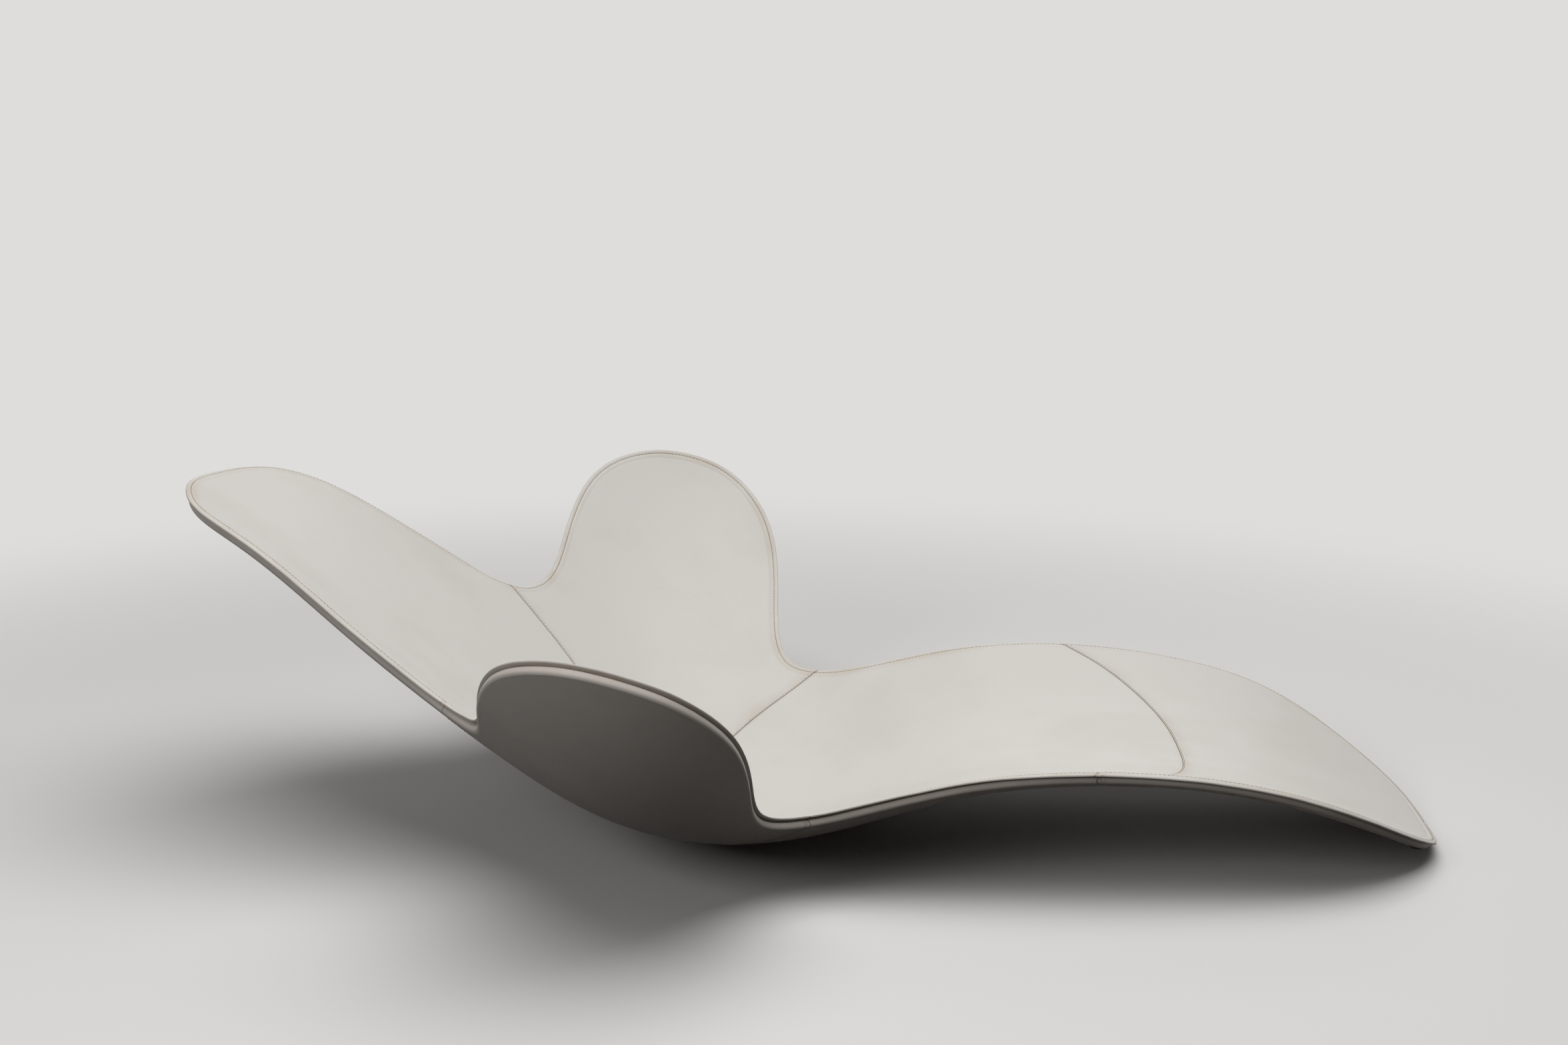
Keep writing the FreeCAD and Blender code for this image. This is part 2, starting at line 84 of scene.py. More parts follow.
# The form of the sitting face, its rim and its seams, as shares of the sizes above
SPINE_SHARES = [
    (0.0, 1.0), (0.08, 0.833), (0.16, 0.584), (0.25, 0.309), (0.34, 0.086), (0.44, 0.0),
    (0.52, 0.038), (0.61, 0.152), (0.70, 0.211), (0.80, 0.207), (0.90, 0.128), (1.0, -0.012),
]
ARC_SHARES = [(0.0, 0.99), (0.2, 1.02), (0.34, 1.05), (0.44, 1.03), (0.52, 0.90), (0.62, 1.0), (1.0, 1.03)]
RIM_SHARES = [
    (0.0, 0.0), (0.007, 0.104), (0.039, 0.261), (0.111, 0.371), (0.184, 0.437), (0.218, 0.463),
    (0.245, 0.514), (0.258, 0.574), (0.269, 0.726), (0.290, 0.885), (0.328, 0.968), (0.363, 1.0),
    (0.409, 0.992), (0.452, 0.883), (0.462, 0.756), (0.466, 0.628), (0.477, 0.560), (0.497, 0.524),
    (0.559, 0.495), (0.688, 0.489), (0.812, 0.462), (0.898, 0.419), (0.948, 0.332), (0.991, 0.175),
    (1.0, 0.0),
]
SEAM_SHARES = {
    "head": [(0.322, 0.0), (0.317, 0.20), (0.3085, 0.30), (0.2905, 0.375), (0.263, 0.430), (0.231, 0.477)],
    "seat": [(0.400, 0.0), (0.409, 0.20), (0.432, 0.333), (0.463, 0.441), (0.499, 0.516)],
    "foot": [(0.796, 0.0), (0.789, 0.18), (0.768, 0.315), (0.737, 0.424), (0.710, 0.487)],
}


def cubic(places, values):
    """The natural cubic spline through the values, straight beyond both ends."""
    places = np.array(places, float)
    values = np.array(values, float)
    spans = np.diff(places)
    slopes = np.diff(values) / spans
    count = len(places)
    matrix = np.eye(count)
    right = np.zeros(count)
    for i in range(1, count - 1):
        matrix[i, i - 1] = spans[i - 1]
        matrix[i, i] = 2.0 * (spans[i - 1] + spans[i])
        matrix[i, i + 1] = spans[i]
        right[i] = 6.0 * (slopes[i] - slopes[i - 1])
    bends = np.linalg.solve(matrix, right)

    def at(place):
        place = np.asarray(place, float)
        inside = np.clip(place, places[0], places[-1])
        i = np.clip(np.searchsorted(places, inside, side="right") - 1, 0, count - 2)
        span = spans[i]
        low = inside - places[i]
        high = places[i + 1] - inside
        value = (bends[i] * high ** 3 + bends[i + 1] * low ** 3) / (6.0 * span)
        value += (values[i] / span - bends[i] * span / 6.0) * high
        value += (values[i + 1] / span - bends[i + 1] * span / 6.0) * low
        slope = (bends[i + 1] * low ** 2 - bends[i] * high ** 2) / (2.0 * span)
        slope += slopes[i] - (bends[i + 1] - bends[i]) * span / 6.0
        return value + slope * (place - inside)

    return at


def along(share):
    return (share - 0.5) * length


spine = cubic([along(a) for a, b in SPINE_SHARES], [low_line + b * head_rise for a, b in SPINE_SHARES])
arc = cubic([along(a) for a, b in ARC_SHARES], [b * arc_radius for a, b in ARC_SHARES])


def face_height(x, y):
    """The sitting face: an arc across, which runs on straight where it is steepest."""
    radius = arc(x)
    turn_off = radius * math.sin(steepest)
    side = np.abs(y)
    on_arc = np.minimum(side, turn_off)
    return spine(x) + radius - np.sqrt(radius ** 2 - on_arc ** 2) + (side - on_arc) * math.tan(steepest)


def at_depth(x, y, depth):
    """Points that lie that deep under the sitting face, square to it."""
    step = 0.0005 * length
    rise_x = (face_height(x + step, y) - face_height(x - step, y)) / (2.0 * step)
    rise_y = (face_height(x, y + step) - face_height(x, y - step)) / (2.0 * step)
    size = np.sqrt(rise_x ** 2 + rise_y ** 2 + 1.0)
    points = [x + depth * rise_x / size, y + depth * rise_y / size, face_height(x, y) - depth / size]
    return np.stack(np.broadcast_arrays(*points), axis=-1)


def outward(x, y):
    return at_depth(x, y, 1.0) - at_depth(x, y, 0.0)


# The rim's plan, which runs on by three points into its mirror at both tips, so that it is smooth there
rim_plan = [(along(a), b * half_width) for a, b in RIM_SHARES]
mirror = [(a, -b) for a, b in rim_plan]
rim_plan = np.array(mirror[3:0:-1] + rim_plan + mirror[-2:-5:-1])
rim_places = np.concatenate([[0.0], np.cumsum(np.hypot(*np.diff(rim_plan, axis=0).T))])
rim_x = cubic(rim_places, rim_plan[:, 0])
rim_y = cubic(rim_places, rim_plan[:, 1])
rim_start = rim_places[3]
rim_run = rim_places[-4] - rim_start
fine_shares = np.linspace(0.0, 1.0, 6001)


def rim_frames():
    """The rim and its inward direction, at fine steps from the head at 0 to the foot at 1."""
    place = rim_start + fine_shares * rim_run
    step = 0.0005 * rim_run
    before, here, after = [at_depth(rim_x(place + a), rim_y(place + a), 0.0) for a in (-step, 0.0, step)]
    inward = np.cross(outward(here[:, 0], here[:, 1]), after - before)
    inward /= np.linalg.norm(inward, axis=1, keepdims=True)
    inward[[0, -1], 1] = 0.0
    here[[0, -1], 1] = 0.0
    return here, inward


rim_base, rim_inward = rim_frames()


def rim_point(share, inset):
    """The plan of points inside the far half of the rim."""
    base_x, base_y = [np.interp(share, fine_shares, rim_base[:, a]) for a in (0, 1)]
    inward_x, inward_y = [np.interp(share, fine_shares, rim_inward[:, a]) for a in (0, 1)]
    return base_x + inward_x * inset, base_y + inward_y * inset


def seam_line(shares):
    places = [-b * half_width for a, b in reversed(shares[1:])] + [b * half_width for a, b in shares]
    values = [along(a) for a, b in reversed(shares[1:])] + [along(a) for a, b in shares]
    return cubic(places, values)


SEAMS = {name: seam_line(shares) for name, shares in SEAM_SHARES.items()}


def crossing(seam, shifts, insets):
    """The rim's shares where lines beside a seam meet each inset: a row for each shift."""
    x, y = rim_point(fine_shares[:, None], np.asarray(insets, float)[None, :])
    away = x - SEAMS[seam](y)
    found = np.empty((len(shifts), len(insets)))
    columns = np.arange(len(insets))
    for row, shift in enumerate(shifts):
        high = np.argmax(away >= shift, axis=0)
        low_away = away[high - 1, columns]
        part = (shift - low_away) / (away[high, columns] - low_away)
        found[row] = fine_shares[high - 1] + part * (fine_shares[high] - fine_shares[high - 1])
    return found


# How far along the edge a share of the rim lies, measured on the stitch line
stitch_path = at_depth(*rim_point(fine_shares, stitch_inset), 0.0)
stitch_run = np.concatenate([[0.0], np.cumsum(np.linalg.norm(np.diff(stitch_path, axis=0), axis=1))])
half_run = stitch_run[-1]


def run_at(share):
    return np.interp(share, fine_shares, stitch_run)


def share_at(run):
    return np.interp(run, stitch_run, fine_shares)


# How the edge varies on its way from the head at 0 to the foot at 1: how far the flange droops, how deep the
# crease under its roll is, how much its turned-in line shows, and how tight the roll is
DROOP_SHARES = [
    (0.0, 0.30), (0.04, 0.45), (0.09, 0.85), (0.16, 1.0), (0.21, 0.80), (0.245, 0.25), (0.28, 0.0),
    (0.56, 0.0), (0.60, 0.30), (0.66, 0.45), (0.72, 0.85), (0.77, 1.0), (0.84, 0.95), (0.90, 0.60),
    (0.95, 0.40), (1.0, 0.30),
]
CREASE_SHARES = [
    (0.0, 0.3), (0.10, 0.6), (0.22, 0.6), (0.28, 0.0), (0.54, 0.0), (0.60, 0.9), (0.88, 1.0), (1.0, 0.6),
]
TURN_SHARES = [
    (0.0, 0.8), (0.12, 0.35), (0.28, 0.2), (0.38, 0.5), (0.50, 1.0), (0.585, 1.0), (0.63, 0.35), (0.80, 0.25),
    (0.93, 0.5), (1.0, 0.9),
]
TIGHT_SHARES = [
    (0.0, 0.0), (0.10, 0.15), (0.17, 0.5), (0.20, 0.4), (0.235, 0.0), (0.265, 0.0), (0.32, 0.7), (0.40, 1.0),
    (0.57, 1.0), (0.62, 0.75), (0.72, 0.35), (0.84, 0.0), (1.0, 0.0),
]
droop_depth = 5.2 * mm
droop_power = 1.4
crease_depth, crease_inset, crease_width = 0.9 * mm, 13.9 * mm, 0.8 * mm
turn_depth, turn_inset, turn_width = 0.5 * mm, 15.5 * mm, 1.7 * mm

# The waves of a hand-sewn edge: how long, how high and where they start
WAVES = [(0.31, 0.11 * mm, 0.4), (0.145, 0.10 * mm, 1.9), (0.068, 0.07 * mm, 4.1)]


def eased(shares, share):
    """A table's value at places on the rim, with no overshoot between its rows."""
    places, values = zip(*shares)
    high = np.clip(np.searchsorted(places, share, side="right"), 1, len(places) - 1)
    places, values = np.array(places), np.array(values)
    part = np.clip((share - places[high - 1]) / (places[high] - places[high - 1]), 0.0, 1.0)
    return values[high - 1] + (values[high] - values[high - 1]) * part * part * (3.0 - 2.0 * part)


def edge_drop(share, inset):
    """How much deeper the hand-sewn edge lies than the plain face."""
    reach = np.clip(1.0 - inset / flange_reach, 0.0, 1.0)
    drop = droop_depth * eased(DROOP_SHARES, share) * reach ** droop_power
    run = run_at(share)
    for wave, size, phase in WAVES:
        drop = drop + size * np.sin(2.0 * math.pi * run / wave + phase) * np.clip(reach * 2.0, 0.0, 1.0)
    return drop


def turned_in(share, inset):
    """The faint valley where the padding stops under the inner leather."""
    beside = (inset - turn_inset) / turn_width
    return turn_depth * eased(TURN_SHARES, share) * np.exp(-beside ** 2)


def creased(share, inset):
    """The crease where the edge's roll meets the outer face."""
    beside = (inset - crease_inset) / crease_width
    return crease_depth * eased(CREASE_SHARES, share) * np.exp(-beside ** 2)


class Section:
    """A panel's cross-section: the visible side from the middle out, the edge, and the hidden side back.
    Each point of the edge is an inset and a depth in millimetres."""

    def __init__(self, edge, visible, across, drops=True):
        self.inset = np.array([a * mm for a, b in edge])
        self.depth = np.array([b * mm for a, b in edge])
        self.mark = np.where(self.depth > flange_deep, np.maximum(self.inset, past_flange), self.inset)
        self.visible = visible
        self.across = np.arange(across) / across
        self.drops = drops
        self.side = 1.0 if self.depth[0] < self.depth[-1] else -1.0
        self.tight = np.zeros(len(edge))
        if self.side < 0.0:
            turned = np.clip((self.depth - flange_deep) / turn_over, 0.0, 1.0)
            self.tight = turned * (np.interp(self.inset, roll_places, tight_places) - self.inset)
        # The way in which a groove pulls each point that shows
        gap = np.gradient(np.stack([self.inset, self.depth]), axis=1)
        gap /= np.linalg.norm(gap, axis=0)
        shown = np.arange(len(edge)) < visible
        self.toward = np.stack([-gap[1], gap[0]]) * -self.side * shown


# The groove at a seam: how deep the leather lies at each distance from it, in millimetres
LAP_GROOVE = cubic([-1.0, 0.0, 0.35, 0.8, 1.3, 2.0, 3.2, 5.0, 6.3, 7.2, 8.5, 12.0],
                   [1.3, 1.25, 0.5, 0.02, -0.16, 0.06, -0.22, -0.22, -0.06, 0.12, 0.02, 0.0])
UNDER_GROOVE = cubic([-1.0, 0.0, 0.5, 1.2, 2.4, 4.5, 8.0], [1.3, 1.2, 0.85, 0.55, 0.3, 0.08, 0.0])
lap_groove_end = 12.0
under_groove_end = 8.0
LAP_SIDE = {"head": 1, "seat": -1, "foot": 1}
SEAM_ROWS = [0.0, 0.35, 0.8, 1.3, 2.0, 2.7, 3.6, 4.8, 6.0, 7.2, 8.6, 11.0, 15.0, 21.0]
PANELS = {"head": (None, "head"), "centre": ("head", "seat"), "leg": ("seat", "foot"), "foot": ("foot", None)}
row_pitch = 4.5 * mm
tip_rows = [0.0, 0.12, 0.3, 0.6]


def seam_distance(seam, x, y):
    """The distance from a seam, square to it in plan, more towards the foot."""
    line = SEAMS[seam]
    step = 1.0 * mm
    slope = (line(y + step) - line(y - step)) / (2.0 * step)
    return (x - line(y)) / np.sqrt(1.0 + slope ** 2)


class Panel:
    """One panel of a layer, as rows across from seam to seam or from a seam to a tip."""

    def __init__(self, name, section):
        self.seams = PANELS[name]
        self.section = section
        shifts = [mm * a + 0.5 * seam_gap for a in SEAM_ROWS]
        ends = []
        close = []
        for seam, side in zip(self.seams, (1, -1)):
            if seam:
                rows = crossing(seam, [side * a for a in shifts], section.inset)
                close.append([(seam, side * a, row) for a, row in zip(shifts[:-1], rows)])
                ends.append((seam, side * shifts[-1], rows[-1]))
            else:
                close.append([])
                ends.append((None, None, np.full(len(section.inset), float(side < 0))))
        count = int(math.ceil((run_at(ends[1][2][0]) - run_at(ends[0][2][0])) / row_pitch))
        steps = list(range(1, count))
        steps = ([0.0] if self.seams[0] else tip_rows) + steps
        steps += [count] if self.seams[1] else [count - a for a in reversed(tip_rows)]
        main = self.between(ends, np.array(steps)[:, None] / count)
        first = [self.beside(*row) for row in close[0]]
        last = [self.beside(*row) for row in reversed(close[1])]
        before = zip(*first) if first else [[]] * len(main)
        after = zip(*last) if last else [[]] * len(main)
        self.share, *self.inner = [np.concatenate([np.stack(part) for part in parts if len(part)])
                                   for parts in zip(before, main, after)]

    def beside(self, seam, shift, share):
        """A row that runs beside a seam: its shares of the rim, and its plan from the middle out."""
        row = [share]
        for end in (0, -1):
            y = self.section.across * rim_point(share[end], self.section.inset[end])[1]
            row += [SEAMS[seam](y) + shift, y]
        return row

    def between(self, ends, row):
        """The rows that pass from the form of one end to the form of the other."""
        v = self.section.across
        share = ends[0][2] + (ends[1][2] - ends[0][2]) * row
        found = [share]
        for end in (0, -1):
            inset = self.section.inset[end]
            edge_x, edge_y = rim_point(share[:, end:] if end else share[:, :1], inset)
            x = v * v * edge_x
            for (seam, shift, shares), weight in zip(ends, (1.0 - row, row)):
                tip_x, tip_y = rim_point(shares[end], inset)
                middle = tip_x
                if seam:
                    line = SEAMS[seam]
                    middle = line(0.0) + shift
                    x = x + weight * (line(v * tip_y) - line(0.0) - v * v * (line(tip_y) - line(0.0)))
                x = x + weight * (1.0 - v * v) * middle
            found += [x, v * edge_y]
        return found

    def groove(self, x, y):
        """How deep the seams pull the leather in."""
        depth = 0.0 * x
        for seam, side in zip(self.seams, (1, -1)):
            if seam:
                away = side * seam_distance(seam, x, y) / mm
                over = LAP_SIDE[seam] == side
                curve, end = (LAP_GROOVE, lap_groove_end) if over else (UNDER_GROOVE, under_groove_end)
                depth = depth + mm * np.where(away < end, curve(np.maximum(away, -0.5)), 0.0)
        return depth

    def grid(self):
        """The points of the far half, row by row, and their distances for the materials."""
        section = self.section
        share = self.share
        edge_x, edge_y = rim_point(share, section.inset)
        pull = self.groove(edge_x, edge_y)
        inset = section.inset + section.tight * eased(TIGHT_SHARES, share) + pull * section.toward[0]
        depth = section.depth + pull * section.toward[1]
        if section.drops:
            depth = depth + edge_drop(share, section.inset)
            detail = turned_in if section.side > 0.0 else creased
            change = section.side * detail(share, section.inset)
            depth[:, :section.visible] += change[:, :section.visible]
        edge = at_depth(*rim_point(share, inset), depth)
        sides = []
        for end, shown, (x, y) in ((0, 1.0, self.inner[:2]), (-1, 0.0, self.inner[2:])):
            sides.append(at_depth(x, y, section.depth[end] + self.groove(x, y) * shown * section.side))
        points = np.concatenate([sides[0], edge, sides[1][:, ::-1]], axis=1)
        far_in = section.inset[0] + np.hypot(self.inner[0] - edge_x[:, :1], self.inner[1] - edge_y[:, :1])
        insets = np.concatenate([far_in, np.broadcast_to(section.mark, share.shape), far_in[:, ::-1]], axis=1)
        ones = np.ones(len(section.across))
        run = run_at(share)
        runs = np.concatenate([run[:, :1] * ones, run, run[:, -1:] * ones], axis=1)
        return points, np.stack([insets, runs], axis=-1)


def nearest_seam(x, y):
    """The distance from the nearest seam, positive on the side where its lap lies."""
    best = np.full(x.shape, 1.0)
    for seam, side in LAP_SIDE.items():
        away = side * seam_distance(seam, x, y)
        best = np.where(np.abs(away) < np.abs(best), away, best)
    return best


def panel_object(name, panel):
    """The closed mesh of a panel, with its distances stored for the materials."""
    points, marks = panel.grid()
    rows, columns = points.shape[:2]
    flip = np.array([1.0, -1.0, 1.0])
    vertices = np.concatenate([points.reshape(-1, 3), (points * flip).reshape(-1, 3)])
    marks = np.concatenate([marks.reshape(-1, 2)] * 2)
    far = np.arange(rows * columns).reshape(rows, columns)
    near = far + rows * columns
    near[:, 0] = far[:, 0]
    near[:, -1] = far[:, -1]
    faces = []
    for side, grid in ((1, far), (-1, near)):
        quads = np.stack([grid[:-1, :-1], grid[1:, :-1], grid[1:, 1:], grid[:-1, 1:]], axis=-1)
        faces += [list(quad[::side]) for quad in quads.reshape(-1, 4)]
    inside = len(panel.section.across)
    for end, row, side in ((0, 0, 1), (1, -1, -1)):
        if not panel.seams[end]:
            continue
        for turned, grid in ((side, far), (-side, near)):
            line = grid[row]
            for a in range(inside):
                faces.append([line[a], line[a + 1], line[-a - 2], line[-a - 1]][::turned])
            faces.append(list(line[inside:columns - inside])[::turned])
    mesh = bpy.data.meshes.new(name)
    mesh.from_pydata(vertices.tolist(), [], [[int(a) for a in face] for face in faces])
    x, y = vertices[:, 0], vertices[:, 1]
    for title, values in (("rim", marks[:, 0]), ("run", marks[:, 1]), ("seam", nearest_seam(x, y))):
        mesh.attributes.new(title, "FLOAT", "POINT").data.foreach_set("value", values.astype(np.float32))
    tidy = bmesh.new()
    tidy.from_mesh(mesh)
    bmesh.ops.remove_doubles(tidy, verts=tidy.verts, dist=0.5e-6)
    bmesh.ops.dissolve_degenerate(tidy, edges=tidy.edges, dist=0.5e-6)
    bmesh.ops.recalc_face_normals(tidy, faces=tidy.faces)
    tidy.to_mesh(mesh)
    tidy.free()
    mesh.shade_smooth()
    item = bpy.data.objects.new(name, mesh)
    bpy.context.scene.collection.objects.link(item)
    return item


# The cross-sections of the layers. The flange is two leathers, sewn and trimmed, with a softly rounded edge.
INNER_EDGE = [
    (24.0, 0.0), (20.0, 0.0), (18.0, 0.0), (16.6, 0.0), (15.5, 0.0), (14.4, 0.0), (13.0, -0.05),
    (11.2, -0.25), (9.6, -0.22), (8.4, 0.0), (7.5, 0.34), (6.8, 0.52), (6.1, 0.30), (5.2, 0.02),
    (4.0, -0.12), (2.6, -0.10), (1.5, 0.05), (0.75, 0.30), (0.25, 0.72), (0.02, 1.25), (0.25, 1.62),
    (0.9, 1.68), (9.0, 1.5), (24.0, 1.45),
]
OUTER_EDGE = [
    (26.0, 16.0), (21.0, 16.0), (17.5, 16.0), (15.6, 16.0), (14.8, 16.0), (14.2, 16.0), (13.6, 15.98),
    (12.9, 15.85), (11.8, 15.45), (10.3, 14.8), (8.9, 13.8), (7.9, 12.5), (7.25, 11.0), (6.9, 9.3),
    (6.8, 7.6), (7.05, 6.1), (7.5, 4.9), (7.9, 4.1), (7.85, 3.62), (7.3, 3.35), (6.7, 3.22), (6.0, 3.36),
    (4.6, 3.46), (3.0, 3.42), (1.7, 3.28), (0.8, 3.0), (0.28, 2.6), (0.12, 2.15), (0.4, 1.86), (1.2, 1.78),
    (8.8, 1.8), (9.2, 4.5), (8.6, 8.0), (9.0, 11.5), (11.0, 13.9), (14.5, 14.6), (26.0, 14.6),
]
pad_top, pad_base = [a / mm for a in inner_pad_span]
pad_in = inner_pad_inset / mm
INNER_PAD_EDGE = [
    (pad_in + 12.0, pad_top), (pad_in + 4.0, pad_top), (pad_in + 1.2, pad_top + 0.2),
    (pad_in + 0.3, pad_top + 0.8), (pad_in, pad_top + 1.7), (pad_in + 0.3, pad_base - 0.7),
    (pad_in + 1.2, pad_base - 0.15), (pad_in + 12.0, pad_base),
]
lining_top, lining_base = [a / mm for a in outer_pad_span]
lining_in = outer_pad_inset / mm
OUTER_PAD_EDGE = [
    (lining_in + 12.0, lining_base), (lining_in + 3.0, lining_base), (lining_in + 0.9, lining_base - 0.2),
    (lining_in + 0.2, lining_base - 0.7), (lining_in, lining_base - 1.3), (lining_in + 0.3, lining_top + 0.5),
    (lining_in + 1.0, lining_top + 0.1), (lining_in + 12.0, lining_top),
]
inner_section = Section(INNER_EDGE, 20, 34)
outer_section = Section(OUTER_EDGE, 28, 34)
inner_pad_section = Section(INNER_PAD_EDGE, 0, 20, drops=False)
outer_pad_section = Section(OUTER_PAD_EDGE, 0, 20, drops=False)


# Colours and nodes
def linear(code):
    """An sRGB hex value as linear red, green, blue and alpha."""
    parts = [int(code[i:i + 2], 16) / 255.0 for i in (0, 2, 4)]
    return tuple(c / 12.92 if c <= 0.04045 else ((c + 0.055) / 1.055) ** 2.4 for c in parts) + (1.0,)


def add(tree, kind, values=()):
    """Adds a node. Each value belongs to a property by name, or to an input by name or number, and a value
    that is another node's socket is linked."""
    node = tree.nodes.new(kind)
    for name, value in dict(values).items():
        if isinstance(value, bpy.types.NodeSocket):
            tree.links.new(value, node.inputs[name])
        elif isinstance(name, str) and hasattr(node, name):
            setattr(node, name, value)
        else:
            node.inputs[name].default_value = value
    return node


def material(name, colour, roughness, metallic=0.0):
    """A material with its shader and its output, and nothing linked yet."""
    made = bpy.data.materials.new(name)
    made.use_nodes = True
    tree = made.node_tree
    tree.nodes.clear()
    shader = add(tree, "ShaderNodeBsdfPrincipled",
                 {"Base Color": linear(colour), "Roughness": roughness, "Metallic": metallic})
    add(tree, "ShaderNodeOutputMaterial", {"Surface": shader.outputs[0]})
    return made, tree, shader


def shown(tree, value, rise, fall=None, most=1.0):
    """How strongly a mark shows: it rises softly from 0 to the most between the two values of the rise,
    and falls again between the two of the fall. The most is a number or another mark's strength."""
    passage = {"interpolation_type": "SMOOTHSTEP", "Value": value}
    if fall:
        down = {"From Min": fall[0], "From Max": fall[1], "To Min": most, "To Max": 0.0}
        most = add(tree, "ShaderNodeMapRange", {**passage, **down}).outputs[0]
    up = {"From Min": rise[0], "From Max": rise[1], "To Min": 0.0, "To Max": most}
    return add(tree, "ShaderNodeMapRange", {**passage, **up}).outputs[0]


def band(tree, value, low, high, soft, most=1.0):
    """A mark between two distances in millimetres, with soft ends."""
    rise, fall = [((a - soft) * mm, (a + soft) * mm) for a in (low, high)]
    return shown(tree, value, rise, fall, most)


def tint(tree, colour, stain, share):
    """A colour with a stain over it, as strong as the share says."""
    shade = linear(colour) if isinstance(colour, str) else colour
    mixed = add(tree, "ShaderNodeMix", {"data_type": "RGBA", 0: share, 6: shade, 7: linear(stain)})
    return mixed.outputs[2]


def bumped(tree, shader, *layers):
    """Lays bumps over one another on a shader: each is a height, its strength and its reach in mm."""
    under = {}
    for height, strength, reach in layers:
        bump = add(tree, "ShaderNodeBump",
                   {"Strength": strength, "Distance": reach * mm, "Height": height, **under})
        under = {"Normal": bump.outputs[0]}
    tree.links.new(bump.outputs[0], shader.inputs["Normal"])


# Where the leather's marks lie, in millimetres from the rim or from a seam: from, to, and how soft
RIM_TAN = (-6.0, 15.0, 7.0)
STITCH_TAN = (5.9, 7.9, 0.9)
STITCH_PULL = (5.0, 10.0, 1.2)
NEEDLE_LINE = (6.3, 7.1, 0.25)
CUT_EDGE = (-2.0, 0.12, 0.12)
LAP_TAN = (-1.0, 16.0, 10.0)
LAP_FOLD_SHADE = (5.7, 7.6, 0.8)
LAP_SLIT_SHADE = (-0.7, 0.5, 0.4)

# Its uneven places are clouds from sitting, worn patches, specks and slack wrinkles: how wide they are in
# millimetres, how much fine detail they hold, and how rough it is
UNEVEN = [(222.2, 4.0, 0.55), (58.8, 5.0, 0.6), (11.1, 3.0, 0.6), (33.3, 4.0, 0.5)]

# Its embossed grain is half as wide in life, and is drawn this coarse so that it shows
grain_width = 1.6 * mm
leather_gloss = 0.2


# Off-white upholstery leather: pigment-finished cowhide with a fine embossed grain and a satin coat.
# Years of use have left a faint tan along the stitches and seams, pale patches, and wiped, duller places.
def leather(name, base, stain, cloudy, groove_shade):
    made, tree, shader = material(name, base, 0.5)
    shader.inputs["Specular IOR Level"].default_value = leather_gloss
    place = add(tree, "ShaderNodeTexCoord").outputs["Object"]
    rim, run, seam = [add(tree, "ShaderNodeAttribute", {"attribute_name": title}).outputs["Fac"]
                      for title in ("rim", "run", "seam")]
    cloud, patch, speck, wrinkle = [
        add(tree, "ShaderNodeTexNoise", {"Vector": place, "Scale": 1.0 / (width * mm), "Detail": detail,
                                         "Roughness": rough}).outputs["Fac"]
        for width, detail, rough in UNEVEN]
    shade = tint(tree, base, cloudy, shown(tree, cloud, (0.45, 0.7), most=0.5))
    shade = tint(tree, shade, stain, shown(tree, patch, (0.6, 0.85), most=0.12))
    # A faint tan beside the rim, along the stitches and beside the laps, uneven as handling leaves it, and a
    # tan line along each lap's fold that is painted shade where the leather lifts over the edge beneath
    for marks, where, most, uneven, rise in (
            (rim, RIM_TAN, 0.28, cloud, (0.35, 0.75)), (rim, STITCH_TAN, 0.5, patch, (0.15, 0.85)),
            (seam, LAP_TAN, 0.25, cloud, (0.3, 0.8)), (seam, LAP_FOLD_SHADE, 0.45, patch, (0.25, 0.9))):
        shade = tint(tree, shade, stain, shown(tree, uneven, rise, most=band(tree, marks, *where, most)))
    # Painted shade in the slit of each seam, in the groove colour
    shade = tint(tree, shade, groove_shade, band(tree, seam, *LAP_SLIT_SHADE, 0.7))
    # The needle holes, one at each end of every stitch, painted dark in the groove colour as the shade inside
    # them
    count = add(tree, "ShaderNodeMath", {"operation": "DIVIDE", 0: run, 1: stitch_pitch}).outputs[0]
    part = add(tree, "ShaderNodeMath", {"operation": "FRACT", 0: count}).outputs[0]
    past_middle = add(tree, "ShaderNodeMath", {"operation": "SUBTRACT", 0: part, 1: 0.5}).outputs[0]
    off_middle = add(tree, "ShaderNodeMath", {"operation": "ABSOLUTE", 0: past_middle}).outputs[0]
    hole_shade = shown(tree, off_middle, (0.40, 0.47), most=band(tree, rim, *NEEDLE_LINE, 0.7))
    shade = tint(tree, shade, groove_shade, hole_shade)
    # The cut edge between the two leathers of the flange
    shade = tint(tree, shade, stain, band(tree, rim, *CUT_EDGE, 0.10))
    tree.links.new(shade, shader.inputs["Base Color"])
    worn = add(tree, "ShaderNodeMapRange", {"Value": patch, "To Min": 0.42, "To Max": 0.6})
    tree.links.new(worn.outputs[0], shader.inputs["Roughness"])
    # Embossed grain, under slack wrinkles, the pull of the stitches and fine specks
    grain = add(tree, "ShaderNodeTexVoronoi", {"feature": "SMOOTH_F1", "Scale": 1.0 / grain_width,
                                               "Vector": place}).outputs["Distance"]
    angle = add(tree, "ShaderNodeMath", {"operation": "MULTIPLY", 0: part, 1: 2.0 * math.pi}).outputs[0]
    wave = add(tree, "ShaderNodeMath", {"operation": "COSINE", 0: angle}).outputs[0]
    pull = add(tree, "ShaderNodeMath",
               {"operation": "MULTIPLY", 0: wave, 1: band(tree, rim, *STITCH_PULL)}).outputs[0]
    bumped(tree, shader, (grain, 0.16, 0.10), (wrinkle, 0.16, 0.6), (pull, 0.22, 0.20), (speck, 0.06, 0.2))
    return made


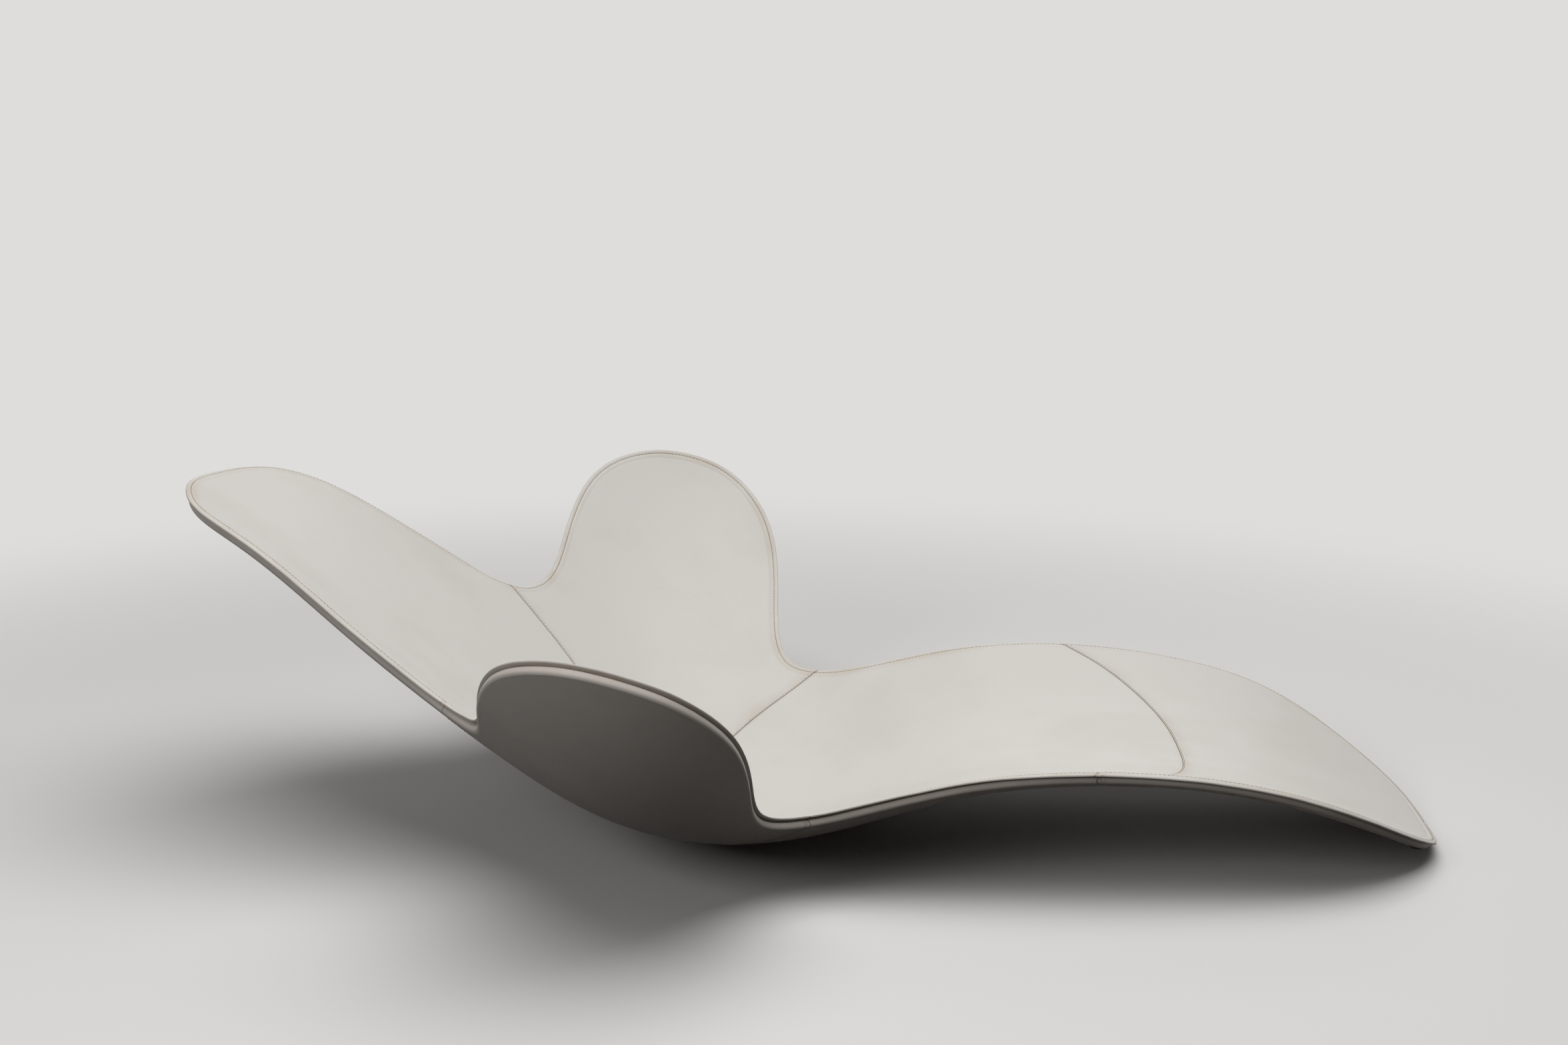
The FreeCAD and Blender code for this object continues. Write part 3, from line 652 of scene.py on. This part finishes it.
# Twisted polyester sewing thread, tan with handling, so it reads as a soft dashed line
def sewing_thread():
    made, tree, shader = material("twisted_polyester_thread", "A3886A", 0.75)
    place = add(tree, "ShaderNodeTexCoord").outputs["Object"]
    grime_width = 33.3 * mm
    grime = add(tree, "ShaderNodeTexNoise", {"Scale": 1.0 / grime_width, "Detail": 3.0, "Roughness": 0.55,
                                             "Vector": place}).outputs["Fac"]
    shade = tint(tree, "A08B70", "6E5A44", shown(tree, grime, (0.35, 0.7)))
    tree.links.new(shade, shader.inputs["Base Color"])
    ply_pitch = 1.1 * mm
    ply = add(tree, "ShaderNodeTexWave", {"bands_direction": "DIAGONAL", "Scale": 1.0 / ply_pitch,
                                          "Distortion": 0.4, "Vector": place}).outputs["Fac"]
    bumped(tree, shader, (ply, 0.4, 0.15))
    return made


# Open-cell polyurethane foam, cut from sheet: pale cream, matt and full of small pores
def cut_foam():
    made, tree, shader = material("open_cell_foam", "E2DAC4", 0.95)
    place = add(tree, "ShaderNodeTexCoord").outputs["Object"]
    cell_width = 1.2 * mm
    cells = add(tree, "ShaderNodeTexVoronoi", {"feature": "F1", "Scale": 1.0 / cell_width,
                                               "Vector": place}).outputs["Distance"]
    shade = tint(tree, "E6DFCB", "CDBF9C", shown(tree, cells, (0.1, 0.7)))
    tree.links.new(shade, shader.inputs["Base Color"])
    bumped(tree, shader, (cells, 0.6, 0.5))
    return made


# Chopped-strand glass laminate, laid up by hand: greenish amber resin with pale strands under a wavy skin
def glass_laminate():
    made, tree, shader = material("glass_fibre_laminate", "A9A184", 0.38)
    place = add(tree, "ShaderNodeTexCoord").outputs["Object"]
    strand_pitch = 9.0 * mm
    strands = add(tree, "ShaderNodeTexWave", {"Scale": 1.0 / strand_pitch, "Distortion": 22.0, "Detail": 3.0,
                                              "Detail Scale": 2.0, "Vector": place}).outputs["Fac"]
    cloud_width = 45.5 * mm
    cloud = add(tree, "ShaderNodeTexNoise", {"Scale": 1.0 / cloud_width, "Detail": 4.0, "Roughness": 0.55,
                                             "Vector": place}).outputs["Fac"]
    shade = tint(tree, "A79E7E", "C9C4AC", shown(tree, strands, (0.55, 0.95)))
    shade = tint(tree, shade, "8F8763", shown(tree, cloud, (0.45, 0.75), most=0.5))
    tree.links.new(shade, shader.inputs["Base Color"])
    bumped(tree, shader, (strands, 0.35, 0.5))
    return made


# Moulded EPDM rubber: near black, matt, with a fine bloom from the mould
def moulded_rubber():
    made, tree, shader = material("moulded_rubber", "1C1B1A", 0.7)
    place = add(tree, "ShaderNodeTexCoord").outputs["Object"]
    bloom_width = 6.25 * mm
    bloom = add(tree, "ShaderNodeTexNoise", {"Scale": 1.0 / bloom_width, "Detail": 4.0, "Roughness": 0.55,
                                             "Vector": place}).outputs["Fac"]
    shade = tint(tree, "191817", "34312E", shown(tree, bloom, (0.45, 0.75)))
    tree.links.new(shade, shader.inputs["Base Color"])
    bumped(tree, shader, (bloom, 0.2, 0.15))
    return made


# Turned metal: fine rings from the lathe round each upright axis, a little uneven in gloss
def turned_metal(name, colour, dull, roughness):
    made, tree, shader = material(name, colour, roughness, 1.0)
    place = add(tree, "ShaderNodeTexCoord").outputs["Object"]
    ring_pitch = 0.9 * mm
    rings = add(tree, "ShaderNodeTexWave", {"bands_direction": "Z", "Scale": 1.0 / ring_pitch,
                                            "Vector": place}).outputs["Fac"]
    tarnish_width = 4.17 * mm
    tarnish = add(tree, "ShaderNodeTexNoise", {"Scale": 1.0 / tarnish_width, "Detail": 3.0,
                                               "Roughness": 0.55, "Vector": place}).outputs["Fac"]
    shade = tint(tree, colour, dull, shown(tree, tarnish, (0.45, 0.8)))
    tree.links.new(shade, shader.inputs["Base Color"])
    gloss = add(tree, "ShaderNodeMapRange",
                {"Value": tarnish, "To Min": roughness - 0.08, "To Max": roughness + 0.12})
    tree.links.new(gloss.outputs[0], shader.inputs["Roughness"])
    bumped(tree, shader, (rings, 0.12, 0.05))
    return made


INNER_LEATHER = leather("off_white_leather_inside", "CFCCC7", "AE9A80", "C6C3BC", "7E6A52")
# The outside is the same leather in darker, warmer colours, as painted shade for the faces turned from the
# lamps. Its darker stain and groove colours also paint shade in the recess under the flange, the seam slits
# and the needle holes, along with the tan of use.
OUTER_LEATHER_SHADED = leather("off_white_leather_outside_shaded", "C4BDB6", "8A7562", "B4ACA5", "463A30")
THREAD = sewing_thread()
FOAM = cut_foam()
LAMINATE = glass_laminate()
RUBBER = moulded_rubber()
BRASS = turned_metal("turned_brass", "C9A765", "A4813F", 0.32)
ZINC = turned_metal("zinc_plated_steel", "BFC0BE", "9C9D9A", 0.36)


def finish_piece(item, made, slot, *nodes):
    item.data.materials.clear()
    item.data.materials.append(made)
    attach(item, "root")
    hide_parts(*nodes)
    return item


# The leathers and the padding, panel by panel
for name in PANELS:
    inner = panel_object("inner_leather_panel_" + name, Panel(name, inner_section))
    finish_piece(inner, INNER_LEATHER, "leather", "inner_leather_" + name)
    outer = panel_object("outer_leather_panel_" + name, Panel(name, outer_section))
    finish_piece(outer, OUTER_LEATHER_SHADED, "leather", "outer_leather_" + name)
    for layer, section in (("inner", inner_pad_section), ("outer", outer_pad_section)):
        pad = panel_object("%s_foam_%s" % (layer, name), Panel(name, section))
        finish_piece(pad, FOAM, "foam", "%s_padding_%s" % (layer, name))


# The stitches
def stitch_tree(count, long, wide, slant):
    """Geometry nodes that lay one stitch on each even step of a path, and the values for their inputs."""
    tree = bpy.data.node_groups.new("stitches", "GeometryNodeTree")
    sockets = [("Geometry", "NodeSocketGeometry"), ("Count", "NodeSocketInt"), ("Long", "NodeSocketFloat"),
               ("Wide", "NodeSocketFloat"), ("Slant", "NodeSocketFloat"), ("Finish", "NodeSocketMaterial")]
    for title, kind in sockets:
        tree.interface.new_socket(title, in_out="INPUT", socket_type=kind)
    tree.interface.new_socket("Geometry", in_out="OUTPUT", socket_type="NodeSocketGeometry")
    given = add(tree, "NodeGroupInput").outputs
    path = add(tree, "GeometryNodeMeshToCurve", {"Mesh": given["Geometry"]})
    even = add(tree, "GeometryNodeResampleCurve", {"Curve": path.outputs[0], "Count": given["Count"]})
    points = add(tree, "GeometryNodeCurveToPoints", {"mode": "EVALUATED", "Curve": even.outputs[0]})
    lift = add(tree, "GeometryNodeInputNamedAttribute", {"data_type": "FLOAT_VECTOR", "Name": "lift"})
    lengthwise = add(tree, "FunctionNodeAlignRotationToVector",
                     {"axis": "X", "Vector": points.outputs["Tangent"]})
    upright = add(tree, "FunctionNodeAlignRotationToVector",
                  {"axis": "Z", "pivot_axis": "X", "Rotation": lengthwise.outputs[0],
                   "Vector": lift.outputs[0]})
    skew = add(tree, "ShaderNodeCombineXYZ", {"Z": given["Slant"]})
    euler = add(tree, "FunctionNodeEulerToRotation", {"Euler": skew.outputs[0]})
    turned = add(tree, "FunctionNodeRotateRotation",
                 {"rotation_space": "LOCAL", "Rotation": upright.outputs[0],
                  "Rotate By": euler.outputs[0]})
    bead = add(tree, "GeometryNodeMeshUVSphere", {"Segments": 8, "Rings": 5, "Radius": 0.5})
    size = add(tree, "ShaderNodeCombineXYZ", {"X": given["Long"], "Y": given["Wide"], "Z": given["Wide"]})
    shaped = add(tree, "GeometryNodeTransform", {"Geometry": bead.outputs["Mesh"], "Scale": size.outputs[0]})
    laid = add(tree, "GeometryNodeInstanceOnPoints",
               {"Points": points.outputs["Points"], "Instance": shaped.outputs[0],
                "Rotation": turned.outputs[0]})
    real = add(tree, "GeometryNodeRealizeInstances", {"Geometry": laid.outputs[0]})
    smooth = add(tree, "GeometryNodeSetShadeSmooth", {"Geometry": real.outputs[0]})
    dressed = add(tree, "GeometryNodeSetMaterial",
                  {"Geometry": smooth.outputs[0], "Material": given["Finish"]})
    add(tree, "NodeGroupOutput", {"Geometry": dressed.outputs[0]})
    values = {"Count": count, "Long": long, "Wide": wide, "Slant": slant, "Finish": THREAD}
    return tree, values


def stitched(name, paths, long, wide, slant):
    """A mesh of stitches along each path, which is its points, its normals and its number of stitches."""
    joined = bmesh.new()
    for points, lifts, count in paths:
        line = bpy.data.meshes.new("path")
        line.from_pydata(points.tolist(), [(i, i + 1) for i in range(len(points) - 1)], [])
        line.attributes.new("lift", "FLOAT_VECTOR", "POINT").data.foreach_set("vector", lifts.ravel())
        carrier = bpy.data.objects.new("path", line)
        bpy.context.scene.collection.objects.link(carrier)
        tree, values = stitch_tree(count, long, wide, slant)
        nodes = carrier.modifiers.new("stitches", "NODES")
        nodes.node_group = tree
        for socket in tree.interface.items_tree:
            if socket.in_out == "INPUT" and socket.name in values:
                nodes[socket.identifier] = values[socket.name]
        bpy.context.view_layer.update()
        seen = carrier.evaluated_get(bpy.context.evaluated_depsgraph_get())
        baked = bpy.data.meshes.new_from_object(seen)
        joined.from_mesh(baked)
        bpy.data.objects.remove(carrier)
    mesh = bpy.data.meshes.new(name)
    joined.to_mesh(mesh)
    joined.free()
    mesh.shade_smooth()
    item = bpy.data.objects.new(name, mesh)
    bpy.context.scene.collection.objects.link(item)
    return item


stitch_long = 4.7 * mm
stitch_wide = 0.95 * mm
stitch_slant = math.radians(9.0)
path_points = 600

# How deep the edge's stitches lie on the sitting face and on the flange's lower side, how far the laps'
# stitches stand proud and lie from the seam, and how far from the rim they stop on either face
edge_depths = (0.42 * mm, 3.30 * mm)
thread_proud = 0.10 * mm
lap_stitch = 2.0 * mm
inner_stop = 9.5 * mm
outer_stop = 16.0 * mm


def edge_path(side, depth, count):
    """Half of a stitch line beside the rim. Each stitch lies between two needle holes."""
    run = np.linspace(0.5 * stitch_pitch, (count - 0.5) * stitch_pitch, 4 * count)
    share = share_at(run)
    x, y = rim_point(share, stitch_inset)
    points = at_depth(x, y, depth + edge_drop(share, stitch_inset)) * np.array([1.0, side, 1.0])
    lifts = outward(x, y) * np.array([1.0, side, 1.0])
    return points, lifts if depth > flange_middle else -lifts, count


edge_count = int(half_run / stitch_pitch)
edge_paths = [edge_path(side, depth, edge_count) for side in (1.0, -1.0) for depth in edge_depths]
finish_piece(stitched("edge_stitches", edge_paths, stitch_long, stitch_wide, stitch_slant),
             THREAD, "thread", "edge_thread")


def seam_path(seam, depth, short):
    """A stitch line beside a seam, from rim to rim, that stops short of both."""
    line = SEAMS[seam]
    reach = rim_point(crossing(seam, [0.0], [short])[0, 0], short)[1]
    y = np.linspace(-reach, reach, path_points)
    step = 1.0 * mm
    slope = (line(y + step) - line(y - step)) / (2.0 * step)
    x = line(y) + LAP_SIDE[seam] * lap_stitch * np.sqrt(1.0 + slope ** 2)
    points = at_depth(x, y, depth)
    lifts = outward(x, y) * (1.0 if depth > flange_middle else -1.0)
    run = np.linalg.norm(np.diff(points, axis=0), axis=1).sum()
    return points, lifts, int(run / stitch_pitch)


for seam in SEAMS:
    for layer, depth, short in (("inner", -thread_proud, inner_stop),
                                ("outer", outer_face + thread_proud, outer_stop)):
        item = stitched("%s_seam_stitches_%s" % (layer, seam), [seam_path(seam, depth, short)],
                        stitch_long, stitch_wide, stitch_slant)
        finish_piece(item, THREAD, "thread", "%s_seam_thread_%s" % (layer, seam))

# The construction's own pieces keep their shape and get their finish
FINISHES = {
    "structural_shell": LAMINATE, "belly_plate": LAMINATE, "belly_glides": RUBBER, "foot_glides": RUBBER,
    "belly_inserts": BRASS, "foot_inserts": BRASS, "belly_glide_screws": ZINC, "foot_glide_screws": ZINC,
}
for node, made in FINISHES.items():
    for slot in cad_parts[node].material_slots:
        slot.material = made

# The floor is pale to the camera, gives little light back, and passes evenly into the room's pale colour
# between these distances from the middle. The room gives a faint warm fill.
room_colour = "DEDDDB"
floor_bounce = "2A2725"
floor_reach = 12.0
floor_fade = (1.1, 2.5)
fill_colour = (1.0, 0.95, 0.91, 1.0)
fill_strength = 0.07


def seen_by_eye(tree):
    """1 for what the camera sees, also in a reflection or through glass."""
    ray = add(tree, "ShaderNodeLightPath").outputs
    seen = ray["Is Camera Ray"]
    for way in ("Is Glossy Ray", "Is Transmission Ray"):
        seen = add(tree, "ShaderNodeMath", {"operation": "MAXIMUM", 0: seen, 1: ray[way]}).outputs[0]
    return seen


def pale_floor():
    made, tree, shader = material("pale_floor", room_colour, 0.9)
    shader.inputs["Specular IOR Level"].default_value = 0.0
    seen = seen_by_eye(tree)
    tree.links.new(tint(tree, floor_bounce, room_colour, seen), shader.inputs["Base Color"])
    place = add(tree, "ShaderNodeTexCoord").outputs["Object"]
    away = add(tree, "ShaderNodeVectorMath", {"operation": "LENGTH", 0: place}).outputs["Value"]
    far = shown(tree, away, floor_fade, most=seen)
    even = add(tree, "ShaderNodeEmission", {"Color": linear(room_colour), "Strength": 1.0})
    mix = add(tree, "ShaderNodeMixShader", {0: far, 1: shader.outputs[0], 2: even.outputs[0]})
    add(tree, "ShaderNodeOutputMaterial", {"Surface": mix.outputs[0]}).is_active_output = True
    return made


def floor():
    mesh = bpy.data.meshes.new("floor")
    corners = [(a * floor_reach, b * floor_reach, 0.0) for a, b in ((-1, -1), (1, -1), (1, 1), (-1, 1))]
    mesh.from_pydata(corners, [], [(0, 1, 2, 3)])
    item = bpy.data.objects.new("floor", mesh)
    bpy.context.scene.collection.objects.link(item)
    item.data.materials.append(pale_floor())


floor()


def soft_lamp(name, place, target, wide, tall, power):
    lamp = bpy.data.lights.new(name, "AREA")
    lamp.shape = "RECTANGLE"
    lamp.size = wide
    lamp.size_y = tall
    lamp.energy = power
    item = bpy.data.objects.new(name, lamp)
    item.location = place
    item.rotation_euler = (Vector(target) - Vector(place)).to_track_quat("-Z", "Y").to_euler()
    bpy.context.scene.collection.objects.link(item)


# Each lamp's place, what it faces, its width and height in metres, and its power in watts
LAMPS = {
    "overhead": ((0.3, -0.3, 3.4), (0.1, -0.1, 0.2), 4.8, 3.4, 126.0),
    "front": ((-2.5, -3.4, 2.3), (-0.1, 0.0, 0.2), 2.2, 1.6, 52.0),
    "back": ((0.8, 3.8, 2.0), (0.0, 0.0, 0.2), 2.6, 1.8, 20.0),
}
for name, lamp in LAMPS.items():
    soft_lamp(name, *lamp)

room = bpy.data.worlds.new("room")
bpy.context.scene.world = room
room.use_nodes = True
tree = room.node_tree
tree.nodes.clear()
fill = add(tree, "ShaderNodeBackground", {"Color": fill_colour, "Strength": fill_strength})
pale = add(tree, "ShaderNodeBackground", {"Color": linear(room_colour), "Strength": 1.0})
both = add(tree, "ShaderNodeMixShader", {0: seen_by_eye(tree), 1: fill.outputs[0], 2: pale.outputs[0]})
add(tree, "ShaderNodeOutputWorld", {"Surface": both.outputs[0]})
